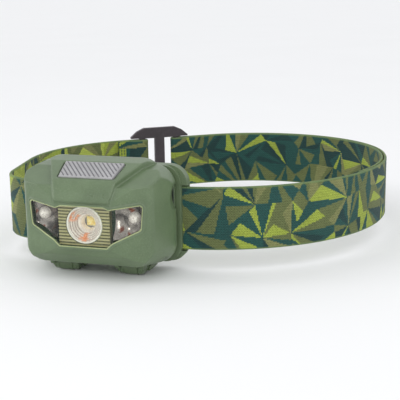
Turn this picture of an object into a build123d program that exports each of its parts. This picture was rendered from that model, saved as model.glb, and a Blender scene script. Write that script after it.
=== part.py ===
from build123d import *
import os
from functools import lru_cache
from math import acos, cos, degrees, radians, sin

# Headlamp on an elastic head band.  Millimetres, +Z up, the lamp looks along -Y.
# Everything is drawn about the middle of the band behind the lamp, and moved at
# the end, so that the origin is the bottom centre of the whole object.

# ---- driving dimensions ----
BAND_WIDTH = 25.0
BAND_THICK = 1.2
LAMP_HALF_WIDTH = 29.5
LAMP_BOTTOM = -17.5
BOTTOM_RISE = 0.14
SIDE_BEND_Y = -8.0
CORNER_DRAW = 0.25
SHOULDER_TOP = 22.2
HOOD_TOP = 24.3
HOOD_CORNER = (25.5, 9.0)
SHELL_FRONT = -26.8
SHELL_REAR = -5.0
WALL = 1.6
CASE_CORNER = 8.5
FIT = 0.05

# ---- hinge at the feet, shared by the tilt and by the opening of the case ----
HINGE_X = 13.5
HINGE_Y = -11.0
HINGE_Z = -17.2
PIN_RADIUS = 0.8
PIN_LENGTH = 10.6
KNUCKLE = 2.55
KNUCKLE_RADIUS = 3.2
CASE_LUG = (2.7, 4.2)
SHELL_LUG = (4.35, 6.25)
LUG_RADIUS = 3.0
NOTCH_RADIUS = 3.5
FOOT_TOP = (7.2, -13.0)
FOOT_TIP = (4.4, -20.4)

# ---- window in the face, right half from the middle line outwards (x, z) ----
WINDOW = [
    (0, 9.4),
    (8.6, 9.4),
    (10.6, 8.5),
    (23.0, 10.3),
    (22.2, 0.4),
    (11.8, -4.6),
    (9.6, -6.6),
    (0, -6.6),
]
WINDOW_THICK = 1.4

# ---- optics and circuit board ----
LENS_RADIUS = 7.25
LENS_Z = 1.7
LENS_FRONT = -25.2
LENS_REAR = -18.9
SIDE_LAMP_X = 18.3
SIDE_LAMP_Z = 4.3
SIDE_LED_RADIUS = 2.4
SIDE_LED_RISE = 2.6
BOARD_FRONT = -17.2
BOARD_THICK = 1.0
BOARD_CORNERS = [(-22.0, -7.6), (22.0, -7.6), (-20.8, 12.0), (20.8, 12.0)]
SCREW_RADIUS = 0.9

# ---- button, on the sloping roof of the hood ----
BUTTON_SLOPE = 21.0
BUTTON_LENGTH = 10.6
BUTTON_REAR_WIDTH = 24.0
BUTTON_FRONT_WIDTH = 21.6
BUTTON_Y = -17.6
BUTTON_Z = 21.05
BUTTON_PROUD = 0.6
BUTTON_TRAVEL = 0.8
BUTTON_END_GAP = 0.6
HANGER_X = 11.7
SWITCH_DEPTH = (-5.2, -1.0)
SWITCH_BOARD_Z = (-7.8, -6.8)

# ---- rear case and cells ----
CASE_FRONT = -4.2
CASE_REAR = -2.6
CASE_INSET = 1.2
TRAY_HALF_WIDTH = 26.1
TRAY_FRONT = -15.2
TRAY_Z = (-14.0, 20.3)
TRAY_WALL = 0.9
SKIRT_HALF_WIDTH = 26.2
CELL_RADIUS = 5.2
CELL_LENGTH = 44.5
CELL_PITCH = 10.6
CELL_Y = -9.5
CELL_Z = 3.35
CELL_SHIFT = 2.0
TRAY_CORNER = 3.5
TRAY_ROOF_FRONT = -10.0
SKIRT_TOP = -9.5

# ---- bracket behind the lamp ----
BRACKET_HALF_WIDTH = 32.5
PLATE_HALF_WIDTH = 30.4
BRACKET_Z = (-17.2, 21.0)
PLATE_Y = (-2.2, -0.4)
FRAME_Y = (-0.4, 3.2)
BAR_X = 29.3
BAR_FRONT = 1.5
CORRIDOR = 13.2
ARM_HALF_WIDTH = 5.6
ARM_FRONT = -8.0
ARM_Z = (-19.6, -17.9)
ARM_RISE_TO = -15.0

# ---- band route: tangent arcs (radius, turn) and two straight runs that close it ----
BAND_Y = 0.4
FRONT_RUN_RIGHT = 26.0
FRONT_RUN_LEFT = 32.0
RIGHT_ARC = (73.0, 107.0)
REAR_ARC = (60.0, 109.0)
LEFT_ARC = (58.0, 65.0)
CORNER_RADIUS = 19.0
CORNER_TURN = 360.0 - RIGHT_ARC[1] - REAR_ARC[1] - LEFT_ARC[1]
TAIL_TURN = 40.0
LAYER_STEP = BAND_THICK + 0.3
BEND_RADIUS = 6.0
SEAM_TURN = 3.5

# ---- slider behind the head ----
SLIDER_SHIFT = 4.6
SLIDER_THICK = 2.0
CENTRE_BAR = 4.9
SLOT_WIDTH = 4.8
OUTER_BAR = 3.0
SLOT_HALF_HEIGHT = 13.0
FLANGE_TOP = 18.2
FLANGE_HALF_WIDTH = 14.8


def box(x, y, z):
    """Solid box between two values on each axis."""
    middle = ((x[0] + x[1]) / 2, (y[0] + y[1]) / 2, (z[0] + z[1]) / 2)
    return Pos(*middle) * Box(x[1] - x[0], y[1] - y[0], z[1] - z[0])


def rod_x(radius, x, y, z):
    """Cylinder along X between two values of x."""
    return Pos((x[0] + x[1]) / 2, y, z) * Rot(0, 90, 0) * Cylinder(radius, x[1] - x[0])


def rod_y(radius, x, y, z):
    """Cylinder along Y between two values of y."""
    return Pos(x, (y[0] + y[1]) / 2, z) * Rot(90, 0, 0) * Cylinder(radius, y[1] - y[0])


def front_prism(face, y):
    """A face drawn in the front view (x, z), run along Y between two values."""
    return Pos(0, y[1], 0) * Rot(90, 0, 0) * extrude(face, y[1] - y[0])


def mirrored(points):
    """An outline given from its middle line to the right, closed to the left."""
    left = [(-x, v) for x, v in reversed(points) if x]
    return make_face(Polyline(points + left, close=True))


def resized(face, amount):
    """The face with its outline moved outwards, or inwards if negative."""
    return offset(face, amount=amount, kind=Kind.INTERSECTION) if amount else face


def rounded_front(half_width, z, radius):
    """Rounded rectangle in the front view."""
    return Pos(0, (z[0] + z[1]) / 2) * RectangleRounded(2 * half_width, z[1] - z[0], radius)


# ---- the form of the lamp body ----

def case_outline(inset, top=SHOULDER_TOP, bottom=LAMP_BOTTOM):
    """Front view of the lamp body with its rounded corners."""
    z = (bottom + inset, top - inset)
    return rounded_front(LAMP_HALF_WIDTH - inset, z, CASE_CORNER - inset)


def above_bottom(inset):
    """Everything above the bottom: it rises forwards, and its round corners draw in."""
    face = Rot(90, 0, 0) * case_outline(inset, top=120.0)
    rear = extrude(face, 60, dir=(0, -1, BOTTOM_RISE)) & box((-60, 60), (SIDE_BEND_Y, 0), (-60, 200))
    bend = Pos(0, SIDE_BEND_Y, -SIDE_BEND_Y * BOTTOM_RISE) * face
    left, right = [extrude(bend, 60, dir=(way * CORNER_DRAW, -1, BOTTOM_RISE)) for way in (-1, 1)]
    return rear + (left & right)


def plan_outline(inset):
    """Plan view: flat middle, swept back wings, round front corners."""
    side = LAMP_HALF_WIDTH
    face = mirrored([(0, SHELL_FRONT), (10.9, SHELL_FRONT), (25.6, -22.3), (side, SIDE_BEND_Y), (side, 0)])
    face = fillet(face.vertices().filter_by_position(Axis.Y, -23, -21), 3.6)
    face = fillet(face.vertices().filter_by_position(Axis.Y, SIDE_BEND_Y - 1, SIDE_BEND_Y + 1), 12.0)
    front = face.vertices().filter_by_position(Axis.Y, SHELL_FRONT - 0.1, SHELL_FRONT + 0.1)
    return resized(fillet(front, 5.0), -inset)


def side_outline(brow_lift, inset):
    """Side view (y, z): flat bottom, raked chin, upright window, brow and roof."""
    points = [
        (0, LAMP_BOTTOM),
        (-20.5, LAMP_BOTTOM + 20.5 * BOTTOM_RISE),
        (-24.8, -10.4),
        (SHELL_FRONT, -7.0),
        (SHELL_FRONT, 10.2),
        (SHELL_FRONT - brow_lift, 11.5),
        (-26.4, 13.8),
        (-24.2, 18.3),
        (-11.8, HOOD_TOP - 1.0),
        (SHELL_REAR, HOOD_TOP),
        (0, HOOD_TOP),
    ]
    face = make_face(Polyline(points, close=True))
    face = fillet(face.vertices().filter_by_position(Axis.X, -30, -11), 0.7)
    return resized(face, -inset)


def along_x(face):
    """A side view face (y, z) run along X, far enough both ways."""
    return Plane.YZ * extrude(face, 60, both=True)


def hood_plan(inset):
    """Plan of the raised hood, narrower at the brow."""
    return resized(mirrored([(0, -40), (8.6, -40), (11.0, -27.6), (24.5, 0)]), -inset)


@lru_cache(maxsize=None)
def lamp_form(inset):
    """Solid form of the lamp body, drawn in all round by an inset."""
    plan = extrude(plan_outline(inset), 60, both=True)
    low = front_prism(case_outline(inset, bottom=-60.0), (-60, 60)) & plan & above_bottom(inset)
    roof = Pos(0, 0, SHOULDER_TOP - HOOD_TOP) * along_x(side_outline(0.0, inset))
    low = low & along_x(side_outline(0.0, inset)) & (roof + box((-60, 60), (-60, 60), (-60, 11)))
    half_width, corner = HOOD_CORNER
    face = rounded_front(half_width - inset, (-60, HOOD_TOP - inset), corner - inset)
    tall = front_prism(face, (-60, 60))
    hood = extrude(hood_plan(inset), 60, both=True) & tall & along_x(side_outline(1.4, inset))
    return low + (hood & box((-30, 30), (-40, 10), (8.0, 40)))


def lamp_skin(outer, inner, y):
    """Layer of the lamp body between two insets and two values of y."""
    return (lamp_form(outer) - lamp_form(inner)) & box((-60, 60), y, (-60, 60))


def window_prism(grow):
    """The window's outline, grown by some amount, run through the face."""
    face = mirrored(WINDOW)
    face = fillet(face.vertices().filter_by_position(Axis.X, 20, 30), 1.2)
    face = fillet(face.vertices().filter_by_position(Axis.X, -30, -20), 1.2)
    return front_prism(resized(face, grow), (-40, -15))


# ---- the button's place on the roof ----

def on_roof(solid):
    """Place a solid drawn about the button's centre, with +Z out of the roof."""
    return Pos(0, BUTTON_Y, BUTTON_Z) * Rot(BUTTON_SLOPE, 0, 0) * solid


def button_prism(grow, z):
    """The button's outline, wider at the rear, between two heights."""
    half = BUTTON_LENGTH / 2
    rear, front = BUTTON_REAR_WIDTH / 2, BUTTON_FRONT_WIDTH / 2
    face = mirrored([(0, half), (rear, half), (front, -half), (0, -half)])
    face = fillet(face.vertices(), 0.8)
    return Pos(0, 0, z[0]) * extrude(resized(face, grow), z[1] - z[0])


def button_opening():
    """Opening in the roof: close along the button's sides, wider at its ends."""
    slot = button_prism(0.15, (-5, 5))
    return slot + Pos(BUTTON_END_GAP, 0, 0) * slot + Pos(-BUTTON_END_GAP, 0, 0) * slot


# ---- hinge details ----

def feet():
    """The middle of each of the two hinge feet along X."""
    return (-HINGE_X, HINGE_X)


def hinge_rod(radius, x):
    """Cylinder on the hinge axis between two values of x."""
    return rod_x(radius, x, HINGE_Y, HINGE_Z)


def lug_spans(foot, lug):
    """The two spans of x that a pair of lugs takes, either side of a foot."""
    return [(foot - lug[1], foot - lug[0]), (foot + lug[0], foot + lug[1])]


# ---- front shell and what it carries ----

def foot_wedge(foot):
    """Tapered outline of a hinge foot, seen from the front."""
    top, tip = FOOT_TOP, FOOT_TIP
    points = [(-top[0], 0), (-top[0], top[1]), (-tip[0], tip[1]), (tip[0], tip[1]), (top[0], top[1]), (top[0], 0)]
    return front_prism(Pos(foot, 0) * make_face(Polyline(points, close=True)), (-30, 10))


def board_boss(x, z):
    """Screw boss from the inside of the shell's face back to the board."""
    post = rod_y(2.0, x, (-30, BOARD_FRONT), z) & lamp_form(0.6)
    return post - rod_y(SCREW_RADIUS, x, (-21.0, 0), z)


def switch_hangers():
    """Two hangers under the roof, each with a ledge for the switch board."""
    bottom = SWITCH_BOARD_Z[0] - 1.0
    hangers = []
    for side in (-1, 1):
        outer, inner = side * (HANGER_X + 1.2), side * (HANGER_X - 1.6)
        hanger = box(sorted((side * HANGER_X, outer)), SWITCH_DEPTH, (bottom, 0))
        ledge = box(sorted((inner, outer)), SWITCH_DEPTH, (bottom, SWITCH_BOARD_Z[0]))
        hangers.append(on_roof(hanger + ledge) & lamp_form(0.8))
    return hangers


def pry_pad():
    """Thicker wall behind the thumb scoop in the shell's right edge."""
    return box((26.9, 29.0), (-11.0, SHELL_REAR), (4.5, 15.5))


def front_shell():
    """Front half of the lamp body, with the window, button and hinge openings."""
    shell = lamp_skin(0.0, WALL, (-40, SHELL_REAR))
    bead = lamp_skin(-0.25, 0.4, (-40, -18)) & window_prism(0.7)
    shell = shell + bead - window_prism(0.0)
    shell += pry_pad() & lamp_form(0.8)
    shell -= Pos(LAMP_HALF_WIDTH + 7.3, SHELL_REAR - 1.0, 10.0) * Sphere(9.0)
    shell -= on_roof(button_opening())
    side = SKIRT_HALF_WIDTH + 0.3
    shell -= box((-side, side), (HINGE_Y - 1.0, 0), (-30, -8))
    shell += switch_hangers()
    shell += [board_boss(x, z) for x, z in BOARD_CORNERS]
    for foot in feet():
        notch = CASE_LUG[1] + 0.1
        shell -= hinge_rod(NOTCH_RADIUS, (foot - notch, foot + notch))
        for span in lug_spans(foot, SHELL_LUG):
            web = box(span, (-15.5, HINGE_Y - 1.4), (HINGE_Z, LAMP_BOTTOM + 3.2))
            shell += (hinge_rod(LUG_RADIUS, span) + web) & foot_wedge(foot)
        shell -= hinge_rod(PIN_RADIUS + FIT, (foot - 7, foot + 7))
    return shell


def window():
    """Clear cover over all three lamps, flush with the shell's face."""
    return lamp_skin(0.0, WINDOW_THICK, (-40, -18)) & window_prism(-0.05)


def lens_bezel():
    """Ribbed panel round the main lens."""
    y = (LENS_FRONT + 0.3, LENS_FRONT + 2.4)
    panel = box((-10.3, 10.3), y, (-6.4, 9.2))
    rib = [box((-10.3, 10.3), (y[0] - 0.35, y[0]), (z, z + 0.6))
           for z in [-6.2 + 1.2 * i for i in range(13)]]
    return panel + rib - rod_y(LENS_RADIUS + 0.15, 0, (-40, 0), LENS_Z)


def main_lens():
    """Collimator: a cone of clear plastic with a hollow for the emitter."""
    depth = LENS_REAR - LENS_FRONT
    cone = Pos(0, LENS_FRONT + 1.2 + (depth - 1.2) / 2, LENS_Z) * Rot(90, 0, 0) * \
        Cone(3.4, LENS_RADIUS - 0.15, depth - 1.2)
    rim = rod_y(LENS_RADIUS, 0, (LENS_FRONT, LENS_FRONT + 1.2), LENS_Z)
    return cone + rim - rod_y(2.4, 0, (LENS_REAR - 2.0, LENS_REAR), LENS_Z)


def led_star():
    """Heat-spreading base under the main emitter."""
    hexagon = extrude(RegularPolygon(6.0, 6), 0.9)
    return Pos(0, BOARD_FRONT, LENS_Z) * Rot(90, 0, 0) * hexagon


def main_led():
    """Square emitter with its low dome."""
    base = Box(3.4, 3.4, 0.5)
    dome = Pos(0, 0, 0.25) * (Sphere(1.5) & Pos(0, 0, 1.0) * Box(4, 4, 2.0))
    chip = base + dome
    return Pos(0, BOARD_FRONT - 0.9 - 0.25, LENS_Z) * Rot(90, 0, 0) * chip


def side_reflector(side):
    """Block with a conical bowl for one of the two side emitters."""
    inner, outer = sorted((side * 11.3, side * 24.0))
    block = box((inner, outer), (-30, -19.4), (-1.2, 9.9)) & lamp_form(WINDOW_THICK + 0.3)
    block = block & window_prism(-0.2)
    bowl = Pos(side * SIDE_LAMP_X, -22.6, SIDE_LAMP_Z) * Rot(90, 0, 0) * Cone(2.7, 5.3, 5.2)
    block -= bowl
    return block - rod_y(SIDE_LED_RADIUS + 0.15, side * SIDE_LAMP_X, (-30, 0), SIDE_LAMP_Z)


def side_led(side):
    """Domed emitter on the board, standing in its reflector."""
    x = side * SIDE_LAMP_X
    tip = BOARD_FRONT - SIDE_LED_RISE
    dome = Pos(x, tip, SIDE_LAMP_Z) * Sphere(SIDE_LED_RADIUS)
    return rod_y(SIDE_LED_RADIUS, x, (tip, BOARD_FRONT), SIDE_LAMP_Z) + dome


def circuit_board():
    """Board behind the optics, with a hole at each screw."""
    z = (BOARD_CORNERS[0][1] - 2.6, BOARD_CORNERS[2][1] + 2.6)
    face = rounded_front(24.8, z, 2.0)
    board = front_prism(face, (BOARD_FRONT, BOARD_FRONT + BOARD_THICK))
    board -= box((-13.3, 13.3), (-30, 0), (11.2, 30))
    for x, z in BOARD_CORNERS:
        board -= rod_y(SCREW_RADIUS, x, (-30, 0), z)
    return board


def board_screws():
    """Four pan head screws through the board into the bosses."""
    seat = BOARD_FRONT + BOARD_THICK
    screws = []
    for x, z in BOARD_CORNERS:
        head = rod_y(1.7, x, (seat, seat + 0.6), z)
        slot = box((x - 1.2, x + 1.2), (seat + 0.3, seat + 1), (z - 0.2, z + 0.2))
        screws.append(head + rod_y(SCREW_RADIUS, x, (-20.6, seat), z) - slot)
    return Compound(screws)


def feed_contacts():
    """Two sprung contacts on the board that meet the tray's contact plates."""
    y = (BOARD_FRONT + BOARD_THICK, TRAY_FRONT - 0.2)
    return Compound([box((x - 1.0, x + 1.0), y, (2.0, 5.0)) for x in (-24.0, 24.0)])


def switch_board():
    """Small board across the hangers that carries the push switch."""
    half = HANGER_X - 0.1
    return on_roof(box((-half, half), SWITCH_DEPTH, SWITCH_BOARD_Z))


def push_switch():
    """Push switch under the button, with a well for its plunger."""
    body = box((-3.0, 3.0), SWITCH_DEPTH, (SWITCH_BOARD_Z[1], -3.4))
    return on_roof(body - Pos(0, sum(SWITCH_DEPTH) / 2, -4.0) * Cylinder(1.75, 1.6))


def switch_plunger():
    """Round plunger that the button presses into the switch."""
    return on_roof(Pos(0, sum(SWITCH_DEPTH) / 2, -3.1) * Cylinder(1.6, 1.4))


def button_cap():
    """Rubber button with a hidden flange under the roof."""
    cap = button_prism(0.0, (-1.8, BUTTON_PROUD))
    cap = chamfer(cap.faces().sort_by(Axis.Z)[-1].edges(), 0.3)
    half = BUTTON_LENGTH / 2
    flange = box((-9.0, 9.0), (-half - 0.1, half + 0.8), (-2.4, -1.75))
    return on_roof(cap + flange)


# ---- rear case and what it carries ----

def case_plate(y, inset=CASE_INSET):
    """Plate across the back of the lamp, set in from the shell's edge."""
    return front_prism(case_outline(inset), y)


def tray_prism(inset, y):
    """The cell tray's outline, run along Y."""
    z = (TRAY_Z[0] + inset, TRAY_Z[1] - inset)
    return front_prism(rounded_front(TRAY_HALF_WIDTH - inset, z, TRAY_CORNER - inset), y)


def rear_case():
    """Back of the lamp: plate, cell tray, bottom skirt and hinge lugs."""
    case = case_plate((CASE_FRONT, CASE_REAR))
    tray = tray_prism(0, (TRAY_FRONT, CASE_FRONT)) & lamp_form(WALL + 0.3)
    case += tray - tray_prism(TRAY_WALL, (TRAY_FRONT, CASE_FRONT))
    case -= box((-60, 60), (-30, TRAY_ROOF_FRONT), (CELL_Z + 14.0, 30))
    skirt = lamp_skin(0.1, 2.6, (HINGE_Y - 0.8, CASE_FRONT))
    case += skirt & box((-SKIRT_HALF_WIDTH, SKIRT_HALF_WIDTH), (-30, 0), (-30, SKIRT_TOP))
    for foot in feet():
        notch = SHELL_LUG[1] + 0.25
        case -= hinge_rod(NOTCH_RADIUS, (foot - notch, foot + notch))
        for span in lug_spans(foot, CASE_LUG):
            web = box(span, (HINGE_Y - 0.8, HINGE_Y + 2.4), (HINGE_Z, TRAY_Z[0] + 0.4))
            case += (hinge_rod(LUG_RADIUS, span) + web) & foot_wedge(foot)
        case -= hinge_rod(PIN_RADIUS, (foot - 7, foot + 7))
    return case


def case_seal():
    """Flat gasket round the tray, pressed by the shell's rear edge."""
    y = (SHELL_REAR + 0.1, CASE_FRONT)
    ring = case_plate(y) - tray_prism(-0.1, y)
    return ring & box((-60, 60), y, (SKIRT_TOP + 0.2, 60))


def hinge_pins():
    """One steel pin through each foot."""
    half = PIN_LENGTH / 2
    return Compound([hinge_rod(PIN_RADIUS, (foot - half, foot + half)) for foot in feet()])


def cell_row(index):
    """Height of a cell, and which way round it lies."""
    return CELL_Z + (1 - index) * CELL_PITCH, 1 if index != 1 else -1


def cell(index):
    """Cylindrical cell lying along X, its raised end towards +X or -X."""
    z, way = cell_row(index)
    flat = -way * (CELL_LENGTH / 2 - CELL_SHIFT)
    shoulder = flat + way * (CELL_LENGTH - 1.0)
    tip = flat + way * CELL_LENGTH
    can = rod_x(CELL_RADIUS, sorted((flat, shoulder)), CELL_Y, z)
    return can + rod_x(1.9, sorted((shoulder, tip)), CELL_Y, z)


def contact_plates():
    """Plates at both ends of every cell; one at each side reaches the board."""
    plates = []
    end = TRAY_HALF_WIDTH - TRAY_WALL
    for side in (-1, 1):
        x = sorted((side * (end - 0.3), side * end))
        for index in range(3):
            z = cell_row(index)[0]
            front = TRAY_FRONT if index == 1 else CELL_Y - 3.0
            plates.append(box(x, (front, CELL_Y + 3.0), (z - 2.6, z + 2.6)))
    return Compound(plates)


def contact_springs():
    """Coil spring at the flat end of each cell."""
    springs = []
    for index in range(3):
        z, way = cell_row(index)
        flat = CELL_LENGTH / 2 - CELL_SHIFT
        room = TRAY_HALF_WIDTH - TRAY_WALL - 0.3 - flat
        height = room - 0.8
        coil = Helix(height / 3.5, height, 2.6)
        wire = sweep(Plane(coil @ 0, z_dir=coil % 0) * Circle(0.25), path=coil)
        turn = Rot(0, -way * 90, 0)
        springs.append(Pos(-way * (flat + 0.4), CELL_Y, z) * turn * wire)
    return Compound(springs)


# ---- bracket ----

def bracket():
    """Plate behind the lamp with a band corridor, two bars and two hinge feet."""
    front = front_prism(rounded_front(PLATE_HALF_WIDTH, BRACKET_Z, 7.0), PLATE_Y)
    frame = front_prism(rounded_front(BRACKET_HALF_WIDTH, BRACKET_Z, 7.5), FRAME_Y)
    frame -= box((-BAR_X, BAR_X), (-5, 9), (-CORRIDOR, CORRIDOR))
    frame -= box((-40, 40), (-5, BAR_FRONT), (-CORRIDOR, CORRIDOR))
    solid = front + frame
    near_knuckle = ARM_FRONT + 2.0
    for foot in feet():
        arm = (foot - ARM_HALF_WIDTH, foot + ARM_HALF_WIDTH)
        solid += box(arm, (ARM_FRONT, 1.0), ARM_Z)
        solid += box(arm, (PLATE_Y[0], 1.0), (ARM_Z[0] + 0.1, ARM_RISE_TO))
        span = (foot - KNUCKLE, foot + KNUCKLE)
        solid += hinge_rod(KNUCKLE_RADIUS, span) & foot_wedge(foot)
        solid += box(span, (HINGE_Y, near_knuckle), (FOOT_TIP[1] + 0.1, ARM_Z[1]))
        solid -= hinge_rod(PIN_RADIUS + FIT, (foot - 7, foot + 7))
    return solid


# ---- head band and slider ----

class Route:
    """A flat ribbon drawn in plan as straight runs and tangent arcs."""

    def __init__(self, x, y, heading):
        self.x, self.y, self.heading = x, y, radians(heading)
        self.left, self.right = [], []

    def point(self, side):
        """A point beside the route's present end, to its left if positive."""
        return (self.x - side * sin(self.heading), self.y + side * cos(self.heading))

    def run(self, length):
        """Go straight on."""
        half = BAND_THICK / 2
        start = self.point(half), self.point(-half)
        self.x += length * cos(self.heading)
        self.y += length * sin(self.heading)
        self.left.append(Line(start[0], self.point(half)))
        self.right.append(Line(start[1], self.point(-half)))

    def arc(self, radius, turn):
        """Turn by an angle in degrees, to the left if positive."""
        half = BAND_THICK / 2
        swing = radius if turn > 0 else -radius
        centre = self.point(swing)
        marks = []
        for part in (0, 0.5, 1):
            angle = self.heading + radians(turn) * part
            marks.append([(centre[0] + (swing - side) * sin(angle),
                           centre[1] - (swing - side) * cos(angle)) for side in (half, -half)])
        self.x = centre[0] + swing * sin(self.heading + radians(turn))
        self.y = centre[1] - swing * cos(self.heading + radians(turn))
        self.heading += radians(turn)
        self.left.append(ThreePointArc(*[mark[0] for mark in marks]))
        self.right.append(ThreePointArc(*[mark[1] for mark in marks]))

    def ribbon(self, width):
        """The ribbon as a solid, standing on its edge about z = 0."""
        first = Line(self.left[0] @ 0, self.right[0] @ 0)
        last = Line(self.left[-1] @ 1, self.right[-1] @ 1)
        face = make_face(Curve() + self.left + self.right + [first, last])
        return Pos(0, 0, -width / 2) * extrude(face, width)


def closing_runs():
    """Lengths of the slider's run and the left run that close the loop."""
    heading = 0.0
    x, y = FRONT_RUN_RIGHT + FRONT_RUN_LEFT, 0.0
    arcs = (RIGHT_ARC, REAR_ARC, LEFT_ARC, (CORNER_RADIUS, CORNER_TURN))
    headings = []
    for radius, turn in arcs:
        after = heading + radians(turn)
        x += radius * (sin(after) - sin(heading))
        y += radius * (cos(heading) - cos(after))
        heading = after
        headings.append(heading)
    a, b = headings[1], headings[2]
    det = cos(a) * sin(b) - sin(a) * cos(b)
    return (-x * sin(b) + y * cos(b)) / det, (-y * cos(a) + x * sin(a)) / det


SLIDER_RUN, LEFT_RUN = closing_runs()
BAR_CENTRE = CENTRE_BAR / 2 + SLOT_WIDTH + SLIDER_THICK / 2
WRAP_RADIUS = SLIDER_THICK / 2 + 0.15 + BAND_THICK / 2


def wrap_and_return(route, way, onward):
    """Turn round a slider bar and come back inside the outer layer."""
    past_bar = OUTER_BAR - SLIDER_THICK / 2 + 0.6
    shift = WRAP_RADIUS - LAYER_STEP / 2
    turn = degrees(acos(1 - shift / BEND_RADIUS))
    route.arc(WRAP_RADIUS, 180 * way)
    route.run(past_bar)
    route.arc(BEND_RADIUS, turn * way)
    route.arc(BEND_RADIUS, -turn * way)
    route.run(onward - past_bar - 2 * BEND_RADIUS * sin(radians(turn)))


def head_band():
    """Elastic band: one end sewn round a slider bar, the other passed through."""
    straight = SLIDER_RUN / 2 + SLIDER_SHIFT - BAR_CENTRE
    right = Route(0, BAND_Y, 0)
    right.run(FRONT_RUN_RIGHT)
    right.arc(*RIGHT_ARC)
    right.arc(*REAR_ARC)
    right.run(straight)
    wrap_and_return(right, 1, straight)
    right.arc(REAR_ARC[0] - LAYER_STEP, -REAR_ARC[1])
    right.arc(RIGHT_ARC[0] - LAYER_STEP, -TAIL_TURN)
    left = Route(0, BAND_Y, 180)
    left.run(FRONT_RUN_LEFT)
    left.arc(CORNER_RADIUS, -CORNER_TURN)
    left.run(LEFT_RUN)
    left.arc(LEFT_ARC[0], -LEFT_ARC[1])
    straight -= 2 * SLIDER_SHIFT
    left.run(straight)
    wrap_and_return(left, -1, straight)
    left.arc(LEFT_ARC[0] - LAYER_STEP, SEAM_TURN)
    return right.ribbon(BAND_WIDTH) + left.ribbon(BAND_WIDTH)


def slider_place():
    """Middle of the slider and its heading, inside the outer layer of band."""
    route = Route(0, BAND_Y, 0)
    route.run(FRONT_RUN_RIGHT)
    route.arc(*RIGHT_ARC)
    route.arc(*REAR_ARC)
    route.run(SLIDER_RUN / 2 + SLIDER_SHIFT)
    x, y = route.point(WRAP_RADIUS)
    return Pos(x, y, 0) * Rot(0, 0, RIGHT_ARC[1] + REAR_ARC[1])


def slider():
    """Three-bar slider with a flared flange above and below the band."""
    z = [(0, FLANGE_TOP), (8.0, FLANGE_TOP), (11.6, 16.6), (FLANGE_HALF_WIDTH, 13.9)]
    bar = CENTRE_BAR / 2 + SLOT_WIDTH + OUTER_BAR
    outline = z + [(FLANGE_HALF_WIDTH, 13.2), (bar, 13.2), (bar, 0)]
    lower = [(u, -w) for u, w in reversed(outline[:-1])]
    face = mirrored(outline + lower)
    face = fillet(face.vertices().filter_by_position(Axis.X, 7, 12), 1.2)
    face = fillet(face.vertices().filter_by_position(Axis.X, -12, -7), 1.2)
    plate = front_prism(face, (-SLIDER_THICK / 2, SLIDER_THICK / 2))
    near = CENTRE_BAR / 2
    for side in (-1, 1):
        x = sorted((side * near, side * (bar + 1)))
        plate -= box(x, (-5, 5), (-SLOT_HALF_HEIGHT, SLOT_HALF_HEIGHT))
        middle = side * (bar - OUTER_BAR / 2)
        post = extrude(RectangleRounded(OUTER_BAR, SLIDER_THICK, 0.99), SLOT_HALF_HEIGHT + 0.2, both=True)
        plate += Pos(middle, 0, 0) * post
    return slider_place() * plate


def all_parts():
    """Every node of the headlamp by name."""
    parts = {
        "bracket": bracket(),
        "headband": head_band(),
        "band_slider": slider(),
        "hinge_pins": hinge_pins(),
        "rear_case": rear_case(),
        "case_seal": case_seal(),
        "contact_plates": contact_plates(),
        "contact_springs": contact_springs(),
        "front_shell": front_shell(),
        "window": window(),
        "lens_bezel": lens_bezel(),
        "main_lens": main_lens(),
        "main_led": main_led(),
        "led_star": led_star(),
        "circuit_board": circuit_board(),
        "board_screws": board_screws(),
        "feed_contacts": feed_contacts(),
        "switch_board": switch_board(),
        "push_switch": push_switch(),
        "switch_plunger": switch_plunger(),
        "button_cap": button_cap(),
    }
    for index, name in enumerate(("upper", "middle", "lower")):
        parts["cell_" + name] = cell(index)
    for side, name in ((-1, "left"), (1, "right")):
        parts["side_reflector_" + name] = side_reflector(side)
        parts["side_led_" + name] = side_led(side)
    return parts


def origin_shift(parts):
    """Move from the drawing's origin to the bottom centre of the whole object."""
    bounds = Compound(list(parts.values())).bounding_box()
    return Pos(-bounds.center().X, -bounds.center().Y, -bounds.min.Z)


os.makedirs("parts", exist_ok=True)
parts = all_parts()
shift = origin_shift(parts)
for name, solid in parts.items():
    export_step(shift * solid, f"parts/{name}.step")
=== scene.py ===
import random
from math import acos, atan2, cos, degrees, floor, pi, radians, sin

import bmesh
import bpy
from mathutils import Matrix, Vector, geometry


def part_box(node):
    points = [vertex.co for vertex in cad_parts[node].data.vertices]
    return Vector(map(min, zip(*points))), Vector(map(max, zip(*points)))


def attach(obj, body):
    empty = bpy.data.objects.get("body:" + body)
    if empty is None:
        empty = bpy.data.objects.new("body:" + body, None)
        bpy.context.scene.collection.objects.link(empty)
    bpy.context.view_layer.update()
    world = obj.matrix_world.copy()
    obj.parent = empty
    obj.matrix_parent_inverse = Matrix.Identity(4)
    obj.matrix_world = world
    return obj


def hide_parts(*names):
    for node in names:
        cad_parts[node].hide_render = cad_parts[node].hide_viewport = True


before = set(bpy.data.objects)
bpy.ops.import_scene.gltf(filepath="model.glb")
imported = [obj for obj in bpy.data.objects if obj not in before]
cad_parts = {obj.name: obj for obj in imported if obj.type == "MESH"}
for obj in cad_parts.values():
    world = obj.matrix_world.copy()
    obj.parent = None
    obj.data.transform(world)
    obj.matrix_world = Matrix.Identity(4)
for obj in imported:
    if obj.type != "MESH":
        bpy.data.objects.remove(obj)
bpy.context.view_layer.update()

# Headlamp on an elastic head band.  Metres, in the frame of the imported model.
# The lamp's own frame has its origin at the middle of the band behind the lamp,
# and its lengths are given in millimetres, as in the CAD source.

scene = bpy.context.scene
scene.view_settings.view_transform = "Standard"
scene.view_settings.look = "None"

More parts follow.
